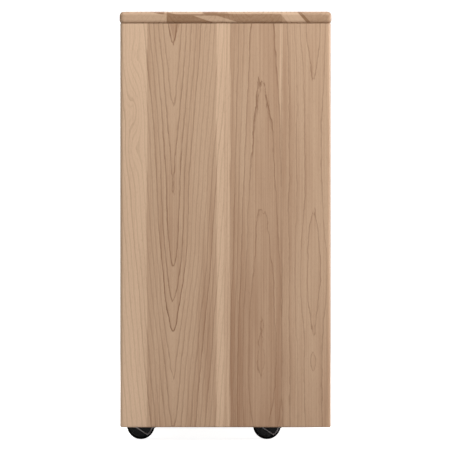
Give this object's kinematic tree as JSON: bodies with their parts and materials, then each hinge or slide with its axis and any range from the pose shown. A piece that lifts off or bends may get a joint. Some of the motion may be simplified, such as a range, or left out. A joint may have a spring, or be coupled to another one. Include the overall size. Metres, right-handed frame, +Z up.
{
  "type": "rolling pantry cart",
  "caption": "Counter-height maple pantry cart on swivel casters: solid panel sides, bullnosed worktop and open adjustable shelves with jar-retaining lips.",
  "frame": {"origin": "on the floor under the middle of the cart, at the bottom centre of its box", "axes": "+Z up, the open front faces -Y, +X is to the right when looking at the back from the front (looking along +Y)"},
  "size_m": [0.613, 0.451, 0.9144],
  "materials": {
    "maple": "flat-sawn hard maple panel, sanded, clear matt lacquer",
    "maple_top": "edge-glued hard maple worktop, oiled, end grain at the sides",
    "maple_plywood": "rotary-cut maple veneer on 6 mm plywood, clear matt lacquer",
    "zinc_steel": "zinc-plated mild steel, satin",
    "black_nylon": "glossy moulded black nylon",
    "wheel_nylon": "semi-gloss moulded black nylon with a fine parting line"
  },
  "bodies": {
    "cart": {"back_panel": "maple_plywood", "deck": "maple", "deck_lip": "maple", "front_left_caster_plate": "zinc_steel", "front_left_kingpin": "zinc_steel", "front_right_caster_plate": "zinc_steel", "front_right_kingpin": "zinc_steel", "front_top_rail": "maple", "left_side_panel": "maple", "rear_left_caster_plate": "zinc_steel", "rear_left_kingpin": "zinc_steel", "rear_right_caster_plate": "zinc_steel", "rear_right_kingpin": "zinc_steel", "rear_top_rail": "maple", "right_side_panel": "maple", "shelf_1": "maple", "shelf_1_lip": "maple", "shelf_1_pin_front_left": "zinc_steel", "shelf_1_pin_front_right": "zinc_steel", "shelf_1_pin_rear_left": "zinc_steel", "shelf_1_pin_rear_right": "zinc_steel", "shelf_2": "maple", "shelf_2_lip": "maple", "shelf_2_pin_front_left": "zinc_steel", "shelf_2_pin_front_right": "zinc_steel", "shelf_2_pin_rear_left": "zinc_steel", "shelf_2_pin_rear_right": "zinc_steel", "shelf_3": "maple", "shelf_3_lip": "maple", "shelf_3_pin_front_left": "zinc_steel", "shelf_3_pin_front_right": "zinc_steel", "shelf_3_pin_rear_left": "zinc_steel", "shelf_3_pin_rear_right": "zinc_steel", "worktop": "maple_top", "worktop_screw_front_left": "zinc_steel", "worktop_screw_front_right": "zinc_steel", "worktop_screw_rear_left": "zinc_steel", "worktop_screw_rear_right": "zinc_steel"},
    "front_left_caster": {"front_left_hood": "black_nylon", "front_left_axle": "zinc_steel"},
    "front_left_wheel_left": {"front_left_wheel_left": "wheel_nylon"},
    "front_left_wheel_right": {"front_left_wheel_right": "wheel_nylon"},
    "front_left_brake": {"front_left_brake_lever": "black_nylon"},
    "front_right_caster": {"front_right_hood": "black_nylon", "front_right_axle": "zinc_steel"},
    "front_right_wheel_left": {"front_right_wheel_left": "wheel_nylon"},
    "front_right_wheel_right": {"front_right_wheel_right": "wheel_nylon"},
    "front_right_brake": {"front_right_brake_lever": "black_nylon"},
    "rear_left_caster": {"rear_left_hood": "black_nylon", "rear_left_axle": "zinc_steel"},
    "rear_left_wheel_left": {"rear_left_wheel_left": "wheel_nylon"},
    "rear_left_wheel_right": {"rear_left_wheel_right": "wheel_nylon"},
    "rear_right_caster": {"rear_right_hood": "black_nylon", "rear_right_axle": "zinc_steel"},
    "rear_right_wheel_left": {"rear_right_wheel_left": "wheel_nylon"},
    "rear_right_wheel_right": {"rear_right_wheel_right": "wheel_nylon"}
  },
  "joints": [
    {"name": "front_left_swivel", "type": "hinge", "parent": "cart", "child": "front_left_caster", "pos_m": [-0.208, -0.117, 0.072], "axis": [0, 0, 1], "continuous": true},
    {"name": "front_left_left_roll", "type": "hinge", "parent": "front_left_caster", "child": "front_left_wheel_left", "pos_m": [-0.208, -0.089, 0.02974], "axis": [1, 0, 0], "continuous": true},
    {"name": "front_left_right_roll", "type": "hinge", "parent": "front_left_caster", "child": "front_left_wheel_right", "pos_m": [-0.208, -0.089, 0.02974], "axis": [1, 0, 0], "continuous": true},
    {"name": "front_left_brake_press", "type": "hinge", "parent": "front_left_caster", "child": "front_left_brake", "pos_m": [-0.208, -0.065, 0.05774], "axis": [1, 0, 0], "range_deg": [-25, 0]},
    {"name": "front_right_swivel", "type": "hinge", "parent": "cart", "child": "front_right_caster", "pos_m": [0.208, -0.117, 0.072], "axis": [0, 0, 1], "continuous": true},
    {"name": "front_right_left_roll", "type": "hinge", "parent": "front_right_caster", "child": "front_right_wheel_left", "pos_m": [0.208, -0.089, 0.02974], "axis": [1, 0, 0], "continuous": true},
    {"name": "front_right_right_roll", "type": "hinge", "parent": "front_right_caster", "child": "front_right_wheel_right", "pos_m": [0.208, -0.089, 0.02974], "axis": [1, 0, 0], "continuous": true},
    {"name": "front_right_brake_press", "type": "hinge", "parent": "front_right_caster", "child": "front_right_brake", "pos_m": [0.208, -0.065, 0.05774], "axis": [1, 0, 0], "range_deg": [-25, 0]},
    {"name": "rear_left_swivel", "type": "hinge", "parent": "cart", "child": "rear_left_caster", "pos_m": [-0.208, 0.154, 0.072], "axis": [0, 0, 1], "continuous": true},
    {"name": "rear_left_left_roll", "type": "hinge", "parent": "rear_left_caster", "child": "rear_left_wheel_left", "pos_m": [-0.208, 0.182, 0.02974], "axis": [1, 0, 0], "continuous": true},
    {"name": "rear_left_right_roll", "type": "hinge", "parent": "rear_left_caster", "child": "rear_left_wheel_right", "pos_m": [-0.208, 0.182, 0.02974], "axis": [1, 0, 0], "continuous": true},
    {"name": "rear_right_swivel", "type": "hinge", "parent": "cart", "child": "rear_right_caster", "pos_m": [0.208, 0.154, 0.072], "axis": [0, 0, 1], "continuous": true},
    {"name": "rear_right_left_roll", "type": "hinge", "parent": "rear_right_caster", "child": "rear_right_wheel_left", "pos_m": [0.208, 0.182, 0.02974], "axis": [1, 0, 0], "continuous": true},
    {"name": "rear_right_right_roll", "type": "hinge", "parent": "rear_right_caster", "child": "rear_right_wheel_right", "pos_m": [0.208, 0.182, 0.02974], "axis": [1, 0, 0], "continuous": true}
  ]
}
